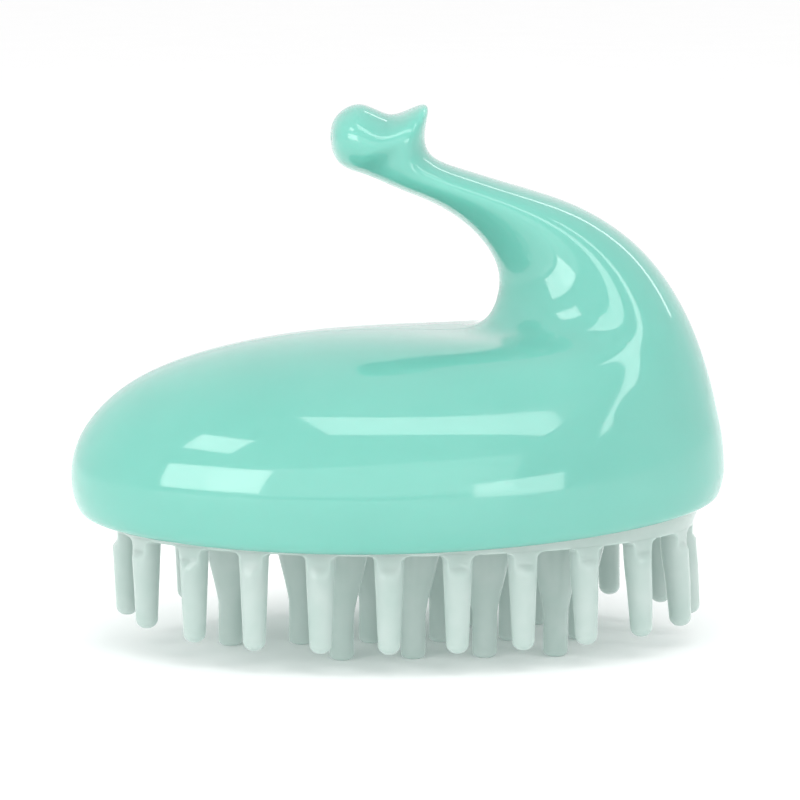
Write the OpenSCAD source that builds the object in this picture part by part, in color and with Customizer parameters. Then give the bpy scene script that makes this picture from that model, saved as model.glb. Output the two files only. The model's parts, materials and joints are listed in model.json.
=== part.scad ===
// Hand-held scalp massager brush: a hollow two-piece shell with a finger hook,
// a screwed base plate, and a soft pad of flexible fingers that pulls off to be washed.
// X runs from the nose (-X) to the heel (+X), Z up. The origin is on the surface
// that the brush stands on, under the middle of its length.

/* [Shell] */
// Length of the shell, nose to heel
shell_length = 111; // [106:0.5:114]
// Width of the shell at its widest level
shell_width = 74.8; // [72:0.2:80]
// Wall thickness of the shell halves
wall = 2.4; // [2:0.1:2.8]
// Width of the turned-under edge, from the outside of the shell to the pad opening
edge_w = 5; // [4.6:0.1:5.4]

/* [Base plate and pad] */
// Height of the pad's underside above the standing surface
pad_z = 20.4; // [19.5:0.1:21]
// Thickness of the pad's floor
pad_floor = 4; // [3.8:0.1:4.4]
// Thickness of the pad's upstanding wall
pad_wall = 1.5; // [1.2:0.1:1.8]
// Thickness of the base plate
plate_t = 2.4; // [2:0.1:3]
// Distance from the shell's middle back to the pad's middle
pad_x = 1.2; // [0.8:0.1:1.5]
// Gap between the pad and the hard parts round it
pad_gap = 0.35; // [0.3:0.05:0.5]

/* [Fingers] */
// Number of slim fingers round the edge of the pad
ring_count = 22; // [22]
// Length of a slim finger
slim_length = 16.4; // [15:0.2:17]
// Radius of a slim finger at its root
slim_root_r = 2.6; // [2.4:0.1:2.8]
// Radius of a slim finger at its tip
slim_tip_r = 1.9; // [1.7:0.1:2.1]
// Radius of a long finger's root
long_root_r = 3.8; // [3.4:0.1:4]
// Radius of a long finger's shaft
long_shaft_r = 2.15; // [1.9:0.05:2.4]
// Spacing of the long fingers along the pad
long_pitch = 12; // [11.5:0.1:12.4]
// Distance from the pad's middle to each side row of long fingers
long_side_y = 13.5; // [13:0.1:14]

/* [Screws] */
// Radius of the self-tapping screws
screw_r = 1.45; // [1.3:0.05:1.6]
// Length of the screws
screw_length = 10; // [8:0.5:12]

/* [Hidden] */
$fn = 48;

mint = [0.56, 0.87, 0.79];
clear_grey = [0.78, 0.85, 0.83];

// ---- Shell outline ------------------------------------------------------
// The shell is a row of oval slices, each tilted a little more than the last,
// from the underside up over the dome and along the tail. Each slice is given by
// its inner end (nose, dome top, then inside of the hook), its outer end (heel,
// back, then top of the tail), half its width and how much wider it is at its
// outer end. The numbers are the control points of smooth curves, in millimetres
// on a shell 111 long and 74.8 wide.
slices = [
    [[-47.0, 21.1], [49.0, 21.1], 29.5, 0.00],
    [[-50.5, 21.1], [52.5, 21.1], 33.0, 0.00],
    [[-54.6, 21.6], [55.0, 21.4], 36.6, 0.00],
    [[-55.7, 27.0], [55.6, 26.0], 37.5, 0.00],
    [[-55.7, 33.0], [55.6, 31.0], 37.4, 0.00],
    [[-52.6, 39.2], [55.4, 33.8], 36.4, 0.01],
    [[-46.2, 45.2], [55.0, 36.6], 34.6, 0.03],
    [[-36.5, 49.4], [54.3, 39.6], 32.0, 0.06],
    [[-24.0, 52.4], [53.6, 42.8], 29.2, 0.10],
    [[-10.0, 53.9], [52.6, 46.4], 26.4, 0.14],
    [[  4.0, 53.9], [51.2, 50.6], 23.4, 0.18],
    [[ 14.2, 53.2], [49.0, 56.0], 20.0, 0.22],
    [[ 17.0, 58.6], [45.2, 62.6], 16.4, 0.22],
    [[ 17.4, 64.4], [39.4, 69.2], 13.2, 0.18],
    [[ 13.0, 70.6], [30.2, 75.0], 10.8, 0.12],
    [[  6.6, 75.0], [19.0, 78.2],  9.2, 0.06],
    [[  0.6, 77.2], [10.8, 80.8],  8.4, 0.00],
    [[ -2.0, 78.4], [ 4.4, 82.8],  8.4, 0.00],
    [[ -3.8, 79.2], [ 4.0, 87.6],  8.8, 0.00],
    [[ -5.4, 79.9], [ 5.6, 92.6],  9.0, 0.00],
    [[ -7.0, 80.4], [ 1.6, 90.8],  9.0, 0.00],
    [[ -8.6, 80.9], [-1.8, 89.4],  9.0, 0.00],
    [[-10.4, 82.0], [-6.6, 92.8],  8.2, 0.00],
    [[-11.3, 84.0], [-10.9, 90.0], 5.6, 0.00],
    [[-11.5, 85.6], [-11.5, 87.4], 2.0, 0.00],
    [[-11.3, 86.0], [-11.3, 87.0], 0.8, 0.00]
];
slice_steps = 3;
half_points = 16;

// The underside is rockered: lowest a little ahead of the middle, highest at the heel
rocker_x = -15;
rocker_k = 0.00076;
rocker_top = 32;
rocker_depth = 9;

x_scale = shell_length / 111;
y_scale = shell_width / 74.8;

function b_spline(p, i, t) =
    ((1 - t)^3 * p[i] + (3*t^3 - 6*t^2 + 4) * p[i + 1]
    + (-3*t^3 + 3*t^2 + 3*t + 1) * p[i + 2] + t^3 * p[i + 3]) / 6;

function column(k) = let (c = [for (s = slices) s[k]], n = len(c) - 1)
    concat([2*c[0] - c[1]], c, [2*c[n] - c[n - 1]]);

inner_ends = column(0);
outer_ends = column(1);
half_widths = column(2);
fullness = column(3);

function smooth_step(t) = let (c = min(1, max(0, t))) c * c * (3 - 2 * c);

function rockered(p) = [
    p.x, p.y,
    p.z + rocker_k * (p.x - rocker_x)^2 * smooth_step((rocker_top - p.z) / rocker_depth)
];

// A point of the left half: u counts slices, angle runs from 0 at the inner end to 180
function shell_point(u, angle) =
    let (
        i = min(floor(u), len(slices) - 2),
        t = u - i,
        inner = b_spline(inner_ends, i, t),
        outer = b_spline(outer_ends, i, t),
        w = b_spline(half_widths, i, t),
        f = b_spline(fullness, i, t),
        mid = inner + (outer - inner) * (1 - cos(angle)) / 2
    )
    rockered([
        mid[0] * x_scale,
        -w * y_scale * sin(angle) * (1 - f * cos(angle)),
        mid[1]
    ]);

function slice_angle(j) = 180 * j / half_points;

// The same point moved inwards by one wall thickness, along the surface's normal
function hollow_point(u, angle) =
    let (
        along = shell_point(u + 0.05, angle) - shell_point(u - 0.05, angle),
        around = shell_point(u, angle + 1) - shell_point(u, angle - 1),
        n = cross(along, around)
    )
    shell_point(u, angle) + wall * n / norm(n);

// ---- Heights and outlines -----------------------------------------------
pad_top = pad_z + pad_floor;
seat_gap = 0.1;
plate_z = pad_top + seat_gap;
plate_top = plate_z + plate_t;

// Half lengths and half widths of the nested ovals, from the outside in
opening = [shell_length / 2 - edge_w, shell_width / 2 - edge_w];
pad_outer = opening - [pad_gap, pad_gap];
pad_inner = pad_outer - [pad_wall, pad_wall];
plate_outer = pad_inner - [pad_gap, pad_gap];

module oval(half, z0, z1, sides = 96) {
    translate([pad_x, 0, z0])
        linear_extrude(z1 - z0)
            polygon([for (a = [0 : 360 / sides : 359.9]) [half.x * cos(a), half.y * sin(a)]]);
}

// ---- Screws ---------------------------------------------------------------
screw_x = 18;
screw_y = 20;
screw_head_r = 2.7;
screw_head_h = 1.5;
screw_gap = 0.1;
boss_r = 3.6;
boss_tops = [46.6, 50.6];
bite = 0.15;

module at_screws(sides = [-1, 1]) {
    for (x = [-screw_x, screw_x])
        for (side = sides)
            translate([pad_x + x, side * screw_y, 0]) children();
}

module plate_screws() {
    color("silver")
        at_screws() difference() {
            translate([0, 0, plate_z]) union() {
                cylinder(r1 = screw_head_r, r2 = screw_r, h = screw_head_h);
                cylinder(r = screw_r, h = screw_length);
            }
            for (turn = [0, 90])
                rotate([0, 0, turn])
                    translate([-1.4, -0.3, plate_z - 1]) cube([2.8, 0.6, 1.8]);
        }
}

// ---- Shell halves ---------------------------------------------------------
// Plain pins that line the halves up, in blind holes across the joint in the solid tail
pin_places = [[28, 70], [-2, 84]];
pin_r = 1.5;
pin_length = 7;
pin_gap = 0.05;
pin_end_gap = 0.3;

module at_pins() {
    for (p = pin_places)
        translate([p.x, 0, p.y]) rotate([90, 0, 0]) children();
}

module seam_pins() {
    color("silver")
        at_pins() cylinder(r = pin_r, h = pin_length, center = true);
}

// Each boss hangs from the roof, which is higher over the rear pair of screws
module screw_bosses() {
    for (k = [0, 1])
        translate([pad_x + (2*k - 1) * screw_x, -screw_y, plate_top])
            cylinder(r = boss_r, h = boss_tops[k] - plate_top);
}

// One row of points for each slice, from the inner end round to the outer end
function row(point) = [for (j = [0 : half_points]) point(slice_angle(j))];

// Rows that wrap the left half's wall: down the inside of the hollow, in along the ledge
// that stops the base plate, down the opening, then out and up over the outside.
// A step is a row's share of a slice.
outside_start = 1 * slice_steps;
hollow_start = 4 * slice_steps;
hollow_end = 12 * slice_steps;
outside_end = (len(slices) - 1) * slice_steps;

function opening_point(angle, z) =
    [pad_x - opening.x * cos(angle), -opening.y * sin(angle), z];
function wall_foot(angle) =
    let (p = hollow_point(hollow_start / slice_steps, angle)) [p.x, p.y, plate_top];
function lip_foot(angle) =
    opening_point(angle, shell_point(outside_start / slice_steps, angle).z);

wall_rows = concat(
    [for (i = [hollow_end : -1 : hollow_start])
        row(function (a) hollow_point(i / slice_steps, a))],
    [row(function (a) wall_foot(a))],
    [row(function (a) opening_point(a, plate_top))],
    [row(function (a) lip_foot(a))],
    [for (i = [outside_start : outside_end])
        row(function (a) shell_point(i / slice_steps, a))]
);
foot_row = hollow_end - hollow_start + 1;
outside_row = foot_row + 3;
last_row = len(wall_rows) - 1;

// Triangles between two chains of points, and round one point
function strip(a, b) = [for (k = [0 : len(a) - 2])
    each [[a[k + 1], a[k], b[k]], [a[k + 1], b[k], b[k + 1]]]];
function fan(centre, rim) = [for (k = [0 : len(rim) - 2]) [centre, rim[k], rim[k + 1]]];
function reversed(list) = [for (k = [len(list) - 1 : -1 : 0]) list[k]];

// The number of point j of row r, and of the rows' ends on the middle plane:
// side 0 is the inner end and side half_points is the outer end
function number(r, j) = r * (half_points + 1) + j;
function hollow_edge(i, side) = number(hollow_end - i, side);
function outside_edge(i, side) = number(outside_row + i - outside_start, side);

function hollow_chain(side) = [for (i = [hollow_start : hollow_end]) hollow_edge(i, side)];
function outside_chain(side) = [for (i = [hollow_start : hollow_end]) outside_edge(i, side)];
function foot_chain(side) = concat(
    [hollow_edge(hollow_start, side)],
    [for (i = [hollow_start : -1 : outside_start]) outside_edge(i, side)],
    [number(foot_row + 2, side), number(foot_row + 1, side)]
);
function tail_chain(side) = concat(
    [hollow_edge(hollow_end, side)],
    [for (i = [hollow_end : outside_end]) outside_edge(i, side)]
);

// The flat face on the middle plane: the wall on the nose side and on the heel side, the
// wall's two feet, and the solid tail
seam_face = concat(
    strip(outside_chain(0), hollow_chain(0)),
    strip(hollow_chain(half_points), outside_chain(half_points)),
    fan(number(foot_row, 0), foot_chain(0)),
    fan(number(foot_row, half_points), reversed(foot_chain(half_points))),
    strip(tail_chain(0), tail_chain(half_points))
);

module shell_wall() {
    polyhedron(
        points = [for (r = wall_rows) each r],
        faces = concat(
            fan(0, [for (j = [1 : half_points]) j]),
            fan(number(last_row, 0), [for (j = [half_points : -1 : 1]) number(last_row, j)]),
            [for (r = [0 : last_row - 1]) for (j = [0 : half_points - 1])
                let (p = number(r, j), q = number(r + 1, j))
                each [[p, q, p + 1], [p + 1, q, q + 1]]],
            seam_face
        ),
        convexity = 8
    );
}

module shell_left() {
    color(mint) difference() {
        union() {
            shell_wall();
            screw_bosses();
        }
        at_screws([-1]) cylinder(r = screw_r - bite, h = plate_z + screw_length + 1);
        at_pins() cylinder(r = pin_r + pin_gap, h = pin_length + 2 * pin_end_gap, center = true);
    }
}

module shell_right() {
    mirror([0, 1, 0]) shell_left();
}

// ---- Base plate ---------------------------------------------------------------
plug_r = 2.2;
plug_h = 4;
plug_gap = 0.1;
plug_places = [[-38, 0], [38, 0], [0, 22], [0, -22]];

module plugs(r, z0, z1) {
    for (p = plug_places)
        translate([pad_x + p.x, p.y, z0]) cylinder(r = r, h = z1 - z0);
}

module base_plate() {
    color(mint) difference() {
        oval(plate_outer, plate_z, plate_top);
        plugs(plug_r + plug_gap, plate_z - 1, plate_top + 1);
        at_screws() translate([0, 0, plate_z - screw_gap]) {
            cylinder(r = screw_r + screw_gap, h = 2 * plate_t);
            cylinder(r1 = screw_head_r + screw_gap, r2 = screw_r + screw_gap,
                h = screw_head_h + screw_gap);
        }
    }
}

// ---- Fingers --------------------------------------------------------------------
// Every finger turns about its root, a ball seated in a round socket of the pad
root_drop = 1;
root_z = pad_z - root_drop;
socket_gap = 0.25;
ring_inset = 2.6;
ring_half = pad_outer - [ring_inset, ring_inset];
heel_lean = 5;
long_count = 5;
first_row = 6;

// Angle round the pad's edge at which the arc from the nose has the given length
function arc_length(half, a) = a <= 0 ? 0
    : arc_length(half, a - 1) + norm([half.x * sin(a - 0.5), half.y * cos(a - 0.5)]) * PI / 180;
function arc_angle(half, length, a = 0, sum = 0) = sum >= length ? a
    : arc_angle(half, length, a + 0.25,
        sum + norm([half.x * sin(a), half.y * cos(a)]) * PI / 720);

half_ring = arc_length(ring_half, 180);
ring_rows = ring_count / 2 + 1;
ring_places = [for (i = [0 : ring_rows - 1])
    let (a = i == 0 ? 0 : i == ring_rows - 1 ? 180
        : arc_angle(ring_half, half_ring * i / (ring_rows - 1)))
    [pad_x - ring_half.x * cos(a), ring_half.y * sin(a)]];

// Long fingers stand on three lines along the pad, and those of the middle line
// stand halfway between those of the side lines, which start one place further back
long_places = [for (i = [0 : 2 * long_count])
    if (i != 1) [pad_x + (i - long_count) * long_pitch / 2, i % 2 == 0 ? 0 : long_side_y]];
long_rows = len(long_places);

// Nose fingers are a little shorter than the rest
function slim_length_at(x) = slim_length - 1.6 * smooth_step((-x - 30) / 20);
function lean_at(x) = heel_lean * max(0, x / ring_half.x)^2;

function arc_points(r, cx, cy, a0, a1, n = 6) =
    [for (k = [0 : n]) let (a = a0 + (a1 - a0) * k / n) [cx + r * cos(a), cy + r * sin(a)]];

// Half outlines of the fingers, with the middle of the root's ball at [0, 0]
function slim_outline(length) =
    let (tip_z = root_drop - length, soft = 1.5)
    concat(
        [[0, slim_root_r]],
        arc_points(slim_root_r, 0, 0, 78, 0),
        arc_points(soft, slim_tip_r - soft, tip_z + soft, 0, -90),
        [[0, tip_z]]
    );

// Widths of a long finger's cone as shares of its root ball's, at heights below the ball
long_cone = [[1.18, -1], [1.02, -5], [0.79, -8.5]];
cone_depth = 12;

long_outline =
    let (tip_z = -root_z, soft = 0.9)
    concat(
        [[0, long_root_r]],
        arc_points(long_root_r, 0, 0, 78, 0),
        [for (p = long_cone) [p.x * long_root_r, p.y]],
        [[long_shaft_r, -cone_depth]],
        arc_points(soft, long_shaft_r - soft, tip_z + soft, 0, -90),
        [[0, tip_z]]
    );

module ring_row(i) {
    p = ring_places[i];
    color(clear_grey)
        for (side = p.y > 0.1 ? [-1, 1] : [1])
            translate([p.x, side * p.y, root_z])
                rotate([0, -lean_at(p.x - pad_x), 0])
                    rotate_extrude() polygon(slim_outline(slim_length_at(p.x - pad_x)));
}

module long_row(i) {
    p = long_places[i];
    color(clear_grey)
        for (side = p.y > 0.1 ? [-1, 1] : [1])
            translate([p.x, side * p.y, root_z])
                rotate_extrude() polygon(long_outline);
}

module sockets(places, r) {
    for (p = places)
        for (side = p.y > 0.1 ? [-1, 1] : [1])
            translate([p.x, side * p.y, root_z]) sphere(r = r + socket_gap);
}

// ---- Pad ----------------------------------------------------------------------------
module pad() {
    color(clear_grey) difference() {
        union() {
            difference() {
                oval(pad_outer, pad_z, plate_top);
                oval(pad_inner, pad_top, plate_top + 1);
            }
            plugs(plug_r, pad_top - 1, pad_top + plug_h);
        }
        sockets(ring_places, slim_root_r);
        sockets(long_places, long_root_r);
    }
}

shell_left();
shell_right();
seam_pins();
base_plate();
plate_screws();
pad();
for (i = [0 : ring_rows - 1])
    ring_row(i);
for (i = [0 : long_rows - 1])
    long_row(i);
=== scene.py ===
"""Looks of a hand-held scalp massager brush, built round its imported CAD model.

The shell halves, the pad and the fingers are smooth meshes in the places of their CAD
nodes. The base plate, the screws and the pins keep their CAD shapes and get materials.
Lengths are in metres; MM turns millimetres into metres.
"""

import json
import math

import bmesh
import bpy
import numpy as np
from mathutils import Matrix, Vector


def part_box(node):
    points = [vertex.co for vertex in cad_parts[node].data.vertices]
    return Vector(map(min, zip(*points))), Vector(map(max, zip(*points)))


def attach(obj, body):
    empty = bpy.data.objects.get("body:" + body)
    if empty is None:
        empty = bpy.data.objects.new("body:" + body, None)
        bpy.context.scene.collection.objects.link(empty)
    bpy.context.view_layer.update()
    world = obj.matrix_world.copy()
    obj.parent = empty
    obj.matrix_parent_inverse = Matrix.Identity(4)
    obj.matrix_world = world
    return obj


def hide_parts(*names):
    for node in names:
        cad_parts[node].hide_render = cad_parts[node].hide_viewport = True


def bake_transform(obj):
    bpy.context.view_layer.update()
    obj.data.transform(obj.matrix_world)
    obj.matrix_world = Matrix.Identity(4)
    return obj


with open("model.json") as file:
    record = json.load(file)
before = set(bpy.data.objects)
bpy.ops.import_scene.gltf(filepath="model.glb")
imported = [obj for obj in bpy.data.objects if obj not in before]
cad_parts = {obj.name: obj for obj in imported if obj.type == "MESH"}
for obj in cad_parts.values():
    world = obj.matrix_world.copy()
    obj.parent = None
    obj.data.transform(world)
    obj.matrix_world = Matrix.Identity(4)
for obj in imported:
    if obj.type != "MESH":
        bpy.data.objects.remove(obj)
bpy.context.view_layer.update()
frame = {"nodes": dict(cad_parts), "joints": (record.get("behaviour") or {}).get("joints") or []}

MM = 0.001

# ---- Places taken from the frame ---------------------------------------------------

PAD_LOW, PAD_HIGH = (np.array(corner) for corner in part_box("pad"))
PLATE_LOW, PLATE_HIGH = (np.array(corner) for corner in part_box("base_plate"))

PAD_X = (PAD_LOW[0] + PAD_HIGH[0]) / 2
PAD_Z = PAD_LOW[2]
PAD_HALF = np.array([PAD_HIGH[0] - PAD_LOW[0], PAD_HIGH[1] - PAD_LOW[1]]) / 2
PLATE_TOP = PLATE_HIGH[2]
PLATE_GAP = 0.1 * MM
PAD_TOP = PLATE_LOW[2] - PLATE_GAP
SHELL_GAP = 0.35 * MM
OPENING = PAD_HALF + SHELL_GAP
ROWS = {j["child"]: j["pos_m"] for j in frame["joints"] if j["type"] == "hinge"}


# ---- Mesh helpers --------------------------------------------------------------------

def smooth_step(t):
    """0 below 0, 1 above 1, and a smooth rise between."""
    t = np.clip(t, 0, 1)
    return t * t * (3 - 2 * t)


def new_piece(name, points, faces, material, sharp_deg=40):
    """A shaded mesh object from points in metres and lists of point numbers."""
    mesh = bpy.data.meshes.new(name)
    mesh.from_pydata([tuple(p) for p in points], [], faces)
    tidy = bmesh.new()
    tidy.from_mesh(mesh)
    bmesh.ops.remove_doubles(tidy, verts=tidy.verts, dist=1e-7)
    bmesh.ops.recalc_face_normals(tidy, faces=tidy.faces)
    tidy.to_mesh(mesh)
    tidy.free()
    mesh.shade_smooth()
    mesh.set_sharp_from_angle(angle=math.radians(sharp_deg))
    mesh.materials.append(material)
    piece = bpy.data.objects.new(name, mesh)
    bpy.context.scene.collection.objects.link(piece)
    return piece


def grid_faces(rows, columns, closed):
    """Quads between neighbouring rows of points; closed joins each row's two ends."""
    faces = []
    for i in range(rows - 1):
        this_row, next_row = i * columns, (i + 1) * columns
        for j in range(columns if closed else columns - 1):
            k = (j + 1) % columns
            faces.append((this_row + j, this_row + k, next_row + k, next_row + j))
    return faces


def lathe(outline, segments):
    """Points and faces of a closed solid turned from (radius, height) pairs.
    The outline starts and ends on the axis."""
    angles = np.arange(segments) * 2 * math.pi / segments
    rings = [[(r * math.cos(a), r * math.sin(a), z) for a in angles] for r, z in outline[1:-1]]
    points = [p for ring in rings for p in ring]
    faces = grid_faces(len(rings), segments, closed=True)
    for (_, z), ring in ((outline[0], 0), (outline[-1], len(rings) - 1)):
        points.append((0, 0, z))
        centre = len(points) - 1
        for j in range(segments):
            faces.append((centre, ring * segments + j, ring * segments + (j + 1) % segments))
    return np.array(points), faces


def joined(parts):
    """One list of points and one of faces from several."""
    points, faces, count = [], [], 0
    for some_points, some_faces in parts:
        points.append(np.asarray(some_points))
        faces += [tuple(count + v for v in face) for face in some_faces]
        count += len(some_points)
    return np.vstack(points), faces


# ---- Materials ------------------------------------------------------------------------

def principled(name, **values):
    """A new material with a Principled shader whose sockets hold the given constants."""
    material = bpy.data.materials.new(name)
    material.use_nodes = True
    shader = material.node_tree.nodes["Principled BSDF"]
    for socket, value in values.items():
        shader.inputs[socket.replace("_", " ")].default_value = value
    return material, shader


def noise(material, size, detail=3.0):
    """Noise in the object's own coordinates, with features of about the given size."""
    nodes, links = material.node_tree.nodes, material.node_tree.links
    place = nodes.new("ShaderNodeTexCoord")
    texture = nodes.new("ShaderNodeTexNoise")
    texture.inputs["Scale"].default_value = 1 / size
    texture.inputs["Detail"].default_value = detail
    links.new(place.outputs["Object"], texture.inputs["Vector"])
    return texture.outputs["Fac"]


def ramp(material, factor, stops):
    """A colour ramp; stops are (position, colour)."""
    nodes, links = material.node_tree.nodes, material.node_tree.links
    node = nodes.new("ShaderNodeValToRGB")
    for element, (position, colour) in zip(node.color_ramp.elements, stops):
        element.position = position
        element.color = (*colour, 1)
    links.new(factor, node.inputs["Fac"])
    return node.outputs["Color"]


def spread(material, factor, low, high):
    """The factor mapped from 0..1 to low..high."""
    nodes, links = material.node_tree.nodes, material.node_tree.links
    node = nodes.new("ShaderNodeMapRange")
    node.inputs["From Min"].default_value = 0.3
    node.inputs["From Max"].default_value = 0.7
    node.inputs["To Min"].default_value = low
    node.inputs["To Max"].default_value = high
    links.new(factor, node.inputs["Value"])
    return node.outputs["Result"]


def bump(material, shader, factor, depth):
    """Adds bumps of the given depth to a shader, high where the factor is high."""
    nodes, links = material.node_tree.nodes, material.node_tree.links
    node = nodes.new("ShaderNodeBump")
    node.inputs["Strength"].default_value = 1.0
    node.inputs["Distance"].default_value = depth
    links.new(factor, node.inputs["Height"])
    links.new(node.outputs["Normal"], shader.inputs["Normal"])


def mint_gloss():
    """Glossy moulded ABS: a faint flow marbling in the colour and a faint orange peel."""
    material, shader = principled(
        "mint_gloss", IOR=1.52, Subsurface_Weight=0.6, Subsurface_Scale=6 * MM,
        Coat_Weight=0.3, Coat_Roughness=0.03)
    shader.inputs["Subsurface Radius"].default_value = (0.6, 1.0, 0.9)
    links = material.node_tree.links
    flow = noise(material, 22 * MM, 2.0)
    links.new(ramp(material, flow, [(0.3, (0.134, 0.410, 0.345)), (0.7, (0.148, 0.430, 0.362))]),
              shader.inputs["Base Color"])
    links.new(spread(material, noise(material, 3 * MM), 0.05, 0.10), shader.inputs["Roughness"])
    bump(material, shader, noise(material, 5 * MM, 1.0), 0.004 * MM)
    return material


def mint_satin():
    """The inner moulding: the same plastic with a fine spark-eroded texture."""
    material, shader = principled("mint_satin", IOR=1.5)
    links = material.node_tree.links
    links.new(ramp(material, noise(material, 10 * MM),
                   [(0.3, (0.22, 0.68, 0.54)), (0.7, (0.26, 0.73, 0.585))]),
              shader.inputs["Base Color"])
    grain = noise(material, 0.35 * MM, 2.0)
    links.new(spread(material, grain, 0.3, 0.48), shader.inputs["Roughness"])
    bump(material, shader, grain, 0.02 * MM)
    return material


def milky_silicone():
    """Translucent silicone: cloudy inside, with a smooth skin. A faint glow stands for the
    light that the real silicone carries in from behind."""
    material, shader = principled(
        "milky_silicone", IOR=1.41, Subsurface_Weight=0.85, Subsurface_Scale=2.5 * MM,
        Emission_Strength=1.0)
    shader.inputs["Subsurface Radius"].default_value = (1.0, 1.0, 1.0)
    shader.inputs["Emission Color"].default_value = (0.13, 0.165, 0.155, 1.0)
    links = material.node_tree.links
    links.new(ramp(material, noise(material, 6 * MM, 2.0),
                   [(0.3, (0.29, 0.36, 0.335)), (0.7, (0.34, 0.395, 0.375))]),
              shader.inputs["Base Color"])
    skin = noise(material, 1.2 * MM, 2.0)
    links.new(spread(material, skin, 0.14, 0.2), shader.inputs["Roughness"])
    bump(material, shader, noise(material, 2.5 * MM, 1.0), 0.0007 * MM)
    return material


def plain_steel():
    """Stainless steel with fine turning marks."""
    material, shader = principled("plain_steel", Metallic=1.0)
    links = material.node_tree.links
    marks = noise(material, 0.25 * MM, 2.0)
    links.new(ramp(material, noise(material, 1.5 * MM),
                   [(0.3, (0.52, 0.52, 0.53)), (0.7, (0.66, 0.66, 0.67))]),
              shader.inputs["Base Color"])
    links.new(spread(material, marks, 0.22, 0.4), shader.inputs["Roughness"])
    bump(material, shader, marks, 0.01 * MM)
    return material


def studio_white():
    """Matt white paper with a very faint grain."""
    material, shader = principled("studio_white", Roughness=0.9, Specular_IOR_Level=0.1)
    links = material.node_tree.links
    links.new(ramp(material, noise(material, 60 * MM),
                   [(0.3, (0.975, 0.975, 0.975)), (0.7, (0.985, 0.985, 0.985))]),
              shader.inputs["Base Color"])
    return material


# ---- Shell ---------------------------------------------------------------------------
# The shell is a row of oval slices, each tilted a little more than the last. Each slice is
# given by its inner end (nose, dome top, inside of the hook), its outer end (heel, back,
# top of the tail), half its width and how much wider it is at its outer end. The numbers
# are the control points of smooth curves, in millimetres.

SLICES = np.array([
    # inner x, z    outer x, z    half width, fullness
    (-47.0, 21.1, 49.0, 21.1, 29.5, 0.00),
    (-50.5, 21.1, 52.5, 21.1, 33.0, 0.00),
    (-54.6, 21.6, 55.0, 21.4, 36.6, 0.00),
    (-55.7, 27.0, 55.6, 26.0, 37.5, 0.00),
    (-55.7, 33.0, 55.6, 31.0, 37.4, 0.00),
    (-52.6, 39.2, 55.4, 33.8, 36.4, 0.01),
    (-46.2, 45.2, 55.0, 36.6, 34.6, 0.03),
    (-36.5, 49.4, 54.3, 39.6, 32.0, 0.06),
    (-24.0, 52.4, 53.6, 42.8, 29.2, 0.10),
    (-10.0, 53.9, 52.6, 46.4, 26.4, 0.14),
    (4.0, 53.9, 51.2, 50.6, 23.4, 0.18),
    (14.2, 53.2, 49.0, 56.0, 20.0, 0.22),
    (17.0, 58.6, 45.2, 62.6, 16.4, 0.22),
    (17.4, 64.4, 39.4, 69.2, 13.2, 0.18),
    (13.0, 70.6, 30.2, 75.0, 10.8, 0.12),
    (6.6, 75.0, 19.0, 78.2, 9.2, 0.06),
    (0.6, 77.2, 10.8, 80.8, 8.4, 0.00),
    (-2.0, 78.4, 4.4, 82.8, 8.4, 0.00),
    (-3.8, 79.2, 4.0, 87.6, 8.8, 0.00),
    (-5.4, 79.9, 5.6, 92.6, 9.0, 0.00),
    (-7.0, 80.4, 1.6, 90.8, 9.0, 0.00),
    (-8.6, 80.9, -1.8, 89.4, 9.0, 0.00),
    (-10.4, 82.0, -6.6, 92.8, 8.2, 0.00),
    (-11.3, 84.0, -10.9, 90.0, 5.6, 0.00),
    (-11.5, 85.6, -11.5, 87.4, 2.0, 0.00),
    (-11.3, 86.0, -11.3, 87.0, 0.8, 0.00),
])
LAST_SLICE = len(SLICES) - 1
WALL = 2.4 * MM

# The underside rises like a rocker away from its lowest place, fading out further up.
ROCKER_X = -15
ROCKER_RISE = 0.00076
ROCKER_TOP = 32
ROCKER_FADE = 9

# The parts of the shell, as slice numbers, and the steps between rows of points.
FIRST_OUTSIDE = 1.0
FIRST_HOLLOW = 4.0
LAST_HOLLOW = 12.0
OUTSIDE_STEP = 0.1
HOLLOW_STEP = 0.25
ROW_POINTS = 96


def slice_at(u):
    """The smooth curves' values for an array of slice numbers."""
    control = np.vstack([2 * SLICES[0] - SLICES[1], SLICES, 2 * SLICES[-1] - SLICES[-2]])
    i = np.minimum(np.floor(u).astype(int), LAST_SLICE - 1)
    t = (u - i)[:, None]
    return ((1 - t) ** 3 * control[i] + (3 * t**3 - 6 * t**2 + 4) * control[i + 1]
            + (-3 * t**3 + 3 * t**2 + 3 * t + 1) * control[i + 2] + t**3 * control[i + 3]) / 6


def shell_points(u, angle):
    """Points of the left half's outside, in metres. u has one value a row and angle has a
    row of values for each, from 0 at the inner end to pi at the outer end."""
    s = slice_at(u)
    share = (1 - np.cos(angle)) / 2
    x = s[:, 0:1] + (s[:, 2:3] - s[:, 0:1]) * share
    z = s[:, 1:2] + (s[:, 3:4] - s[:, 1:2]) * share
    y = -s[:, 4:5] * np.sin(angle) * (1 - s[:, 5:6] * np.cos(angle))
    z = z + ROCKER_RISE * (x - ROCKER_X) ** 2 * smooth_step((ROCKER_TOP - z) / ROCKER_FADE)
    return np.stack([x, y, z], axis=-1) * MM


def inward_normals(u, angle):
    """Unit vectors square to the outside, pointing into the plastic."""
    step, turn = 0.02, 0.01
    along = shell_points(u + step, angle) - shell_points(u - step, angle)
    around = shell_points(u, angle + turn) - shell_points(u, angle - turn)
    n = np.cross(along, around)
    return n / np.linalg.norm(n, axis=-1, keepdims=True)


SEAM_WIDTH = 0.14 * MM
SEAM_DEPTH = 0.12 * MM
LIP_ROUND = 0.5 * MM


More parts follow.
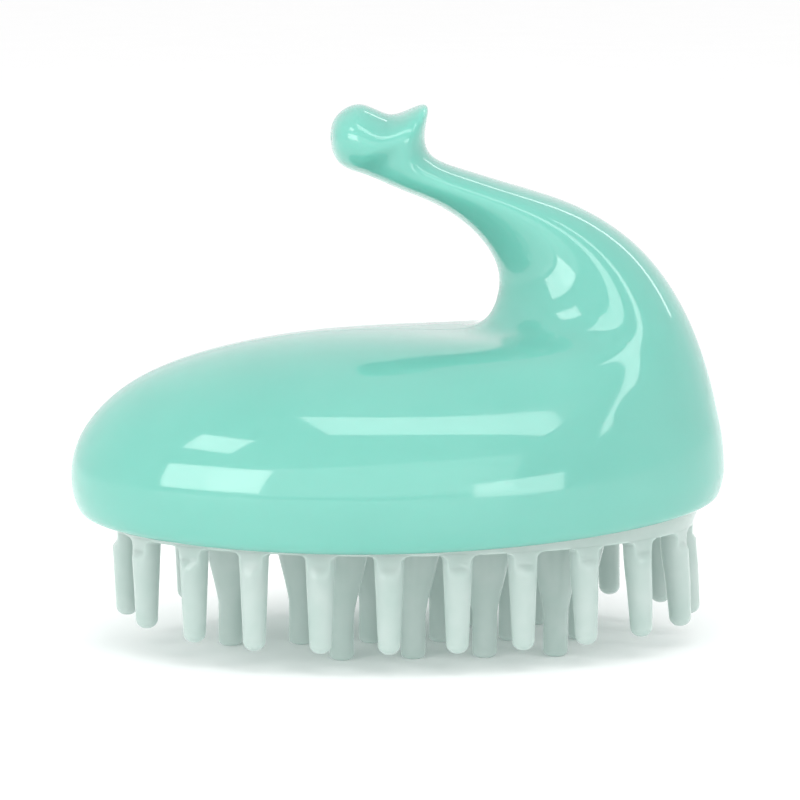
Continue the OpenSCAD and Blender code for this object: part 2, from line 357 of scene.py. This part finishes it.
def row_angles(u):
    """Angles of each row's points. The second and the last but one stand a little off
    the middle plane, so that a fine groove runs along the joint."""
    near = SEAM_WIDTH / (slice_at(u)[:, 4:5] * MM)
    share = np.linspace(0, 1, ROW_POINTS)[None, :]
    inner = near + (math.pi - 2 * near) * share
    edge = np.zeros_like(near)
    return np.hstack([edge, inner, edge + math.pi])


def shell_half(name, side, material):
    """One half of the shell as a closed solid wall, side -1 for the left half."""
    outside_u = np.arange(FIRST_OUTSIDE, LAST_SLICE, OUTSIDE_STEP)
    outside_a = row_angles(outside_u)
    outside = shell_points(outside_u, outside_a)
    recess = np.zeros(outside_a.shape)
    recess[:, [0, -1]] = SEAM_DEPTH
    outside = outside + recess[..., None] * inward_normals(outside_u, outside_a)

    hollow_u = np.arange(LAST_HOLLOW, FIRST_HOLLOW - HOLLOW_STEP / 2, -HOLLOW_STEP)
    hollow_a = row_angles(hollow_u)
    hollow = shell_points(hollow_u, hollow_a) + WALL * inward_normals(hollow_u, hollow_a)

    angle = outside_a[0]

    def opening(grow, height):
        """A row on the pad's opening, widened by grow, at a height or an array of them."""
        half = OPENING + grow
        return np.stack([PAD_X - half[0] * np.cos(angle), -half[1] * np.sin(angle),
                         np.broadcast_to(height, angle.shape)], axis=-1)

    foot = hollow[-1] * [1, 1, 0] + [0, 0, PLATE_TOP]
    under = outside[0][:, 2]
    lip = [opening(LIP_ROUND * (1 - math.cos(a)), under + LIP_ROUND * (1 - math.sin(a)))
           for a in np.radians([0, 22.5, 45, 67.5, 90])]
    rows = [*hollow, foot, opening(0, PLATE_TOP), *lip, *outside]
    rows = np.array(rows)
    rows[:, [0, -1], 1] = 0
    rows[:, :, 1] *= -side

    columns = rows.shape[1]
    last = (len(rows) - 1) * columns
    faces = grid_faces(len(rows), columns, closed=False)
    faces.append(tuple(range(columns)))
    faces.append(tuple(range(last, last + columns)))
    joint = [i * columns for i in range(len(rows))]
    faces.append(tuple(joint + [i + columns - 1 for i in reversed(joint)]))
    piece = new_piece(name, rows.reshape(-1, 3), faces, material, sharp_deg=30)
    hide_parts(name)
    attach(piece, "shell")


# ---- Pad ------------------------------------------------------------------------------

PAD_WALL = 1.5 * MM
PAD_TAPER = 0.9 * MM
TAPER_HEIGHT = 3.2 * MM
EDGE_ROUND = 0.45 * MM
PLUG_RADIUS = 2.2 * MM
PLUG_HEIGHT = 4 * MM
PLUG_PLACES = np.array([(-38, 0), (38, 0), (0, 22), (0, -22)]) * MM


def oval_ring(half, height, segments=192):
    """A level ring of points round the pad's middle."""
    angles = np.arange(segments) * 2 * math.pi / segments
    return np.stack([PAD_X + half[0] * np.cos(angles), half[1] * np.sin(angles),
                     np.full(segments, height)], axis=-1)


def arc(centre, radius, start_deg, end_deg, steps=5):
    """Points (offset from the pad's outline, height) along part of a circle."""
    return [(centre[0] + radius * math.cos(a), centre[1] + radius * math.sin(a))
            for a in np.radians(np.linspace(start_deg, end_deg, steps))]


def pad_plug(x, y):
    """A round plug with a domed end, standing on the pad's floor."""
    foot = -0.5 * MM
    outline = [
        (0, foot),
        (PLUG_RADIUS, foot),
        (PLUG_RADIUS, PLUG_HEIGHT - 0.8 * MM),
        (0.9 * PLUG_RADIUS, PLUG_HEIGHT - 0.3 * MM),
        (0.6 * PLUG_RADIUS, PLUG_HEIGHT),
        (0, PLUG_HEIGHT),
    ]
    points, faces = lathe(outline, 32)
    return points + [PAD_X + x, y, PAD_TOP], faces


def pad_body(material):
    """The pad: a flat underside, a tapered side that meets it in a soft edge, a rim that
    wraps the base plate, and plugs on its floor."""
    soft = PAD_WALL / 2
    side = (
        [(-PAD_WALL, PAD_TOP)]
        + arc((-soft, PLATE_TOP - soft), soft, 180, 0, 9)
        + [(0, PAD_Z + TAPER_HEIGHT)]
        + arc((-PAD_TAPER - EDGE_ROUND, PAD_Z + EDGE_ROUND), EDGE_ROUND, 0, -90)
    )
    floor_rings = [oval_ring(PAD_HALF * share, PAD_TOP) for share in (0.3, 0.7, 0.9)]
    side_rings = [oval_ring(PAD_HALF + offset, height) for offset, height in side]
    under_rings = [oval_ring(PAD_HALF * share, PAD_Z) for share in (0.93, 0.8, 0.6, 0.3)]
    rings = np.array(floor_rings + side_rings + under_rings)
    columns = rings.shape[1]
    last = (len(rings) - 1) * columns
    faces = grid_faces(len(rings), columns, closed=True)
    faces.append(tuple(range(columns)))
    faces.append(tuple(range(last, last + columns)))
    plugs = [pad_plug(x, y) for x, y in PLUG_PLACES]
    points, faces = joined([(rings.reshape(-1, 3), faces), *plugs])
    piece = new_piece("pad_body", points, faces, material)
    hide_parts("pad")
    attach(piece, "pad")


# ---- Fingers --------------------------------------------------------------------------

# How far below the pad a finger has taken its row's whole turn.
BEND_DEPTH = 9 * MM
# Degrees that the last slim finger leans out towards the heel.
HEEL_LEAN = 5
# Half width of a slim finger's root in the CAD model.
SLIM_ROOT = 2.6 * MM
# How far the roots reach up into the pad, and how far down they keep within its edge.
ROOT_SINK = 0.25 * MM
ROOT_DEPTH = 2.5 * MM
ROOT_MARGIN = 0.1 * MM


def root_fillet(radius, fillet, steps=7):
    """Outline (radius, depth below the pad) of the fillet between the pad and a finger."""
    return [(radius + fillet * (1 - math.cos(a)), fillet * (1 - math.sin(a)))
            for a in np.radians(np.linspace(90, 0, steps))]


def slim_outline(length):
    """Half outline of a slim edge finger, from inside the pad down to its round tip."""
    root, tip, fillet, soft = 2.45 * MM, 1.85 * MM, 1.1 * MM, 1.6 * MM
    shaft_end = length - soft
    return (
        [(0, -ROOT_SINK), (root + fillet, -ROOT_SINK)]
        + root_fillet(root, fillet)
        + [(root + (tip - root) * t, fillet + (shaft_end - fillet) * t)
           for t in np.linspace(0, 1, 14)[1:]]
        + [(tip - soft + soft * math.cos(a), shaft_end + soft * math.sin(a))
           for a in np.radians(np.linspace(10, 84, 8))]
        + [(0, length)]
    )


def long_outline(length):
    """Half outline of a long finger: a wide cone, a straight shaft and a blunt tip."""
    root, shaft, fillet, soft = 4.6 * MM, 2.05 * MM, 1.2 * MM, 0.9 * MM
    cone_end, shaft_end = 13 * MM, length - soft
    cone = [(shaft + (root - shaft) * (0.7 * (1 - t) + 0.3 * (1 - smooth_step(t))),
             fillet + (cone_end - fillet) * t) for t in np.linspace(0, 1, 14)[1:]]
    return (
        [(0, -ROOT_SINK), (root + fillet, -ROOT_SINK)]
        + root_fillet(root, fillet)
        + cone
        + [(shaft, cone_end + (shaft_end - cone_end) * t) for t in (0.5, 1)]
        + [(shaft - soft + soft * math.cos(a), shaft_end + soft * math.sin(a))
           for a in np.radians([15, 30, 45, 60, 75, 90])]
        + [(0, length)]
    )


def placed_finger(outline, x, y, lean_deg):
    """A finger under (x, y) of the pad. It leans more and more with depth, and its root
    stays inside the pad's outline."""
    points, faces = lathe(outline, 40)
    depth = points[:, 2].copy()
    lean = np.radians(lean_deg) * smooth_step(depth / BEND_DEPTH)
    px, pz = points[:, 0].copy(), -depth
    points[:, 0] = x + px * np.cos(lean) - pz * np.sin(lean)
    points[:, 1] += y
    points[:, 2] = PAD_Z + pz * np.cos(lean) + px * np.sin(lean)
    half = PAD_HALF - PAD_TAPER - ROOT_MARGIN
    reach = np.hypot((points[:, 0] - PAD_X) / half[0], points[:, 1] / half[1])
    pull = np.where(depth < ROOT_DEPTH, np.minimum(1, 1 / np.maximum(reach, 1e-9)), 1)
    points[:, 0] = PAD_X + (points[:, 0] - PAD_X) * pull
    points[:, 1] *= pull
    return points, faces


def finger_row(node, material):
    """The fingers of one cross row. Slim fingers on the heel's side lean out, bending where they
    leave the pad.
    """
    x = ROWS[node][0]
    low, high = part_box(node)
    slim = node.startswith("ring")
    widest = SLIM_ROOT if slim else (high[0] - low[0]) / 2
    y = high[1] - widest
    length = PAD_Z - low[2]
    lean = HEEL_LEAN * max(0, (x - PAD_X) / (PAD_HALF[0] - SLIM_ROOT)) ** 2 if slim else 0
    outline = slim_outline(length) if slim else long_outline(length)
    sides = (-1, 1) if y > 0.5 * MM else (0,)
    points, faces = joined([placed_finger(outline, x, side * y, lean) for side in sides])
    piece = new_piece(node + "_skin", points, faces, material)
    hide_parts(node)
    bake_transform(piece)


# ---- Studio ---------------------------------------------------------------------------

AIM = np.array([0.15, 0, 41.7]) * MM
LAMP_DISTANCE = 1.2


def towards(azimuth, elevation):
    """Unit vector from the object; azimuth 0 is the front (-Y) and 90 the heel (+X)."""
    a, e = math.radians(azimuth), math.radians(elevation)
    return np.array([math.sin(a) * math.cos(e), -math.cos(a) * math.cos(e), math.sin(e)])


def facing_aim(away):
    """Rotation of a lamp or a camera that stands in that direction and looks back."""
    return Vector(away).to_track_quat("Z", "Y").to_euler()


def floor(material):
    """A pale round floor, wide enough to have no visible edge."""
    radius, segments = 9.0, 64
    angles = np.arange(segments) * 2 * math.pi / segments
    points = [(radius * math.cos(a), radius * math.sin(a), 0) for a in angles]
    new_piece("floor", points, [tuple(range(segments))], material)


def softbox(name, azimuth, elevation, width, height, radiance, roll=0):
    """A rectangular light that looks width by height degrees large from the object."""
    light = bpy.data.lights.new(name, "AREA")
    light.shape = "RECTANGLE"
    light.size = 2 * LAMP_DISTANCE * math.tan(math.radians(width / 2))
    light.size_y = 2 * LAMP_DISTANCE * math.tan(math.radians(height / 2))
    light.energy = radiance * math.pi * light.size * light.size_y
    lamp = bpy.data.objects.new(name, light)
    bpy.context.scene.collection.objects.link(lamp)
    away = towards(azimuth, elevation)
    lamp.location = AIM + away * LAMP_DISTANCE
    lamp.rotation_euler = facing_aim(away)
    lamp.rotation_euler.rotate_axis("Z", math.radians(roll))


def glowing_panel(name, corners, radiance):
    """A light with the given corners, each an (azimuth, elevation) seen from the object."""
    material = bpy.data.materials.new(name)
    material.use_nodes = True
    nodes, links = material.node_tree.nodes, material.node_tree.links
    nodes.remove(nodes["Principled BSDF"])
    glow = nodes.new("ShaderNodeEmission")
    glow.inputs["Strength"].default_value = radiance
    links.new(glow.outputs["Emission"], nodes["Material Output"].inputs["Surface"])
    points = [AIM + towards(azimuth, elevation) * LAMP_DISTANCE for azimuth, elevation in corners]
    new_piece(name, points, [(0, 1, 2, 3)], material)


def studio():
    """White surroundings and softboxes whose reflections give the shell its highlights.
    Each softbox is given by azimuth, elevation, width and height in degrees, and radiance."""
    world = bpy.data.worlds.new("studio")
    world.use_nodes = True
    sky = world.node_tree.nodes["Background"]
    sky.inputs["Color"].default_value = (1, 1, 1, 1)
    sky.inputs["Strength"].default_value = 1.0
    bpy.context.scene.world = world
    floor(studio_white())
    glowing_panel("key", [(-62, 70), (-27, 54), (36, 29), (41, 31)], 4.0)
    softbox("fill", -12, 14, 80, 26, 0.8)
    softbox("window_low", -53, 14, 36, 22, 4.0)
    softbox("window_high", -64, 43, 18, 11, 4.0)
    softbox("card_right", 30, 2, 24, 9, 3.0)
    softbox("strip_right", 57, 40, 7, 46, 3.5)
    softbox("rim", 138, 36, 44, 4, 3.0, roll=40)


CAMERA_AZIMUTH = -5
CAMERA_ELEVATION = 8
CAMERA_DISTANCE = 0.62
VIEW_WIDTH = 135.6 * MM


def camera():
    """The main camera: a little towards the nose and above, with a long lens."""
    lens = bpy.data.cameras.new("camera")
    lens.sensor_width = 36
    lens.lens = lens.sensor_width * CAMERA_DISTANCE / VIEW_WIDTH
    eye = bpy.data.objects.new("camera", lens)
    bpy.context.scene.collection.objects.link(eye)
    away = towards(CAMERA_AZIMUTH, CAMERA_ELEVATION)
    eye.location = AIM + away * CAMERA_DISTANCE
    eye.rotation_euler = facing_aim(away)
    bpy.context.scene.camera = eye


def paint(node, material):
    """Gives a CAD node that stays in view its material."""
    piece = frame["nodes"][node]
    piece.data.materials.clear()
    piece.data.materials.append(material)


bpy.context.scene.view_settings.view_transform = "Standard"
camera()
studio()

gloss, satin, silicone, steel = mint_gloss(), mint_satin(), milky_silicone(), plain_steel()
shell_half("shell_left", -1, gloss)
shell_half("shell_right", 1, gloss)
pad_body(silicone)
for row in ROWS:
    finger_row(row, silicone)
paint("base_plate", satin)
paint("plate_screws", steel)
paint("seam_pins", steel)
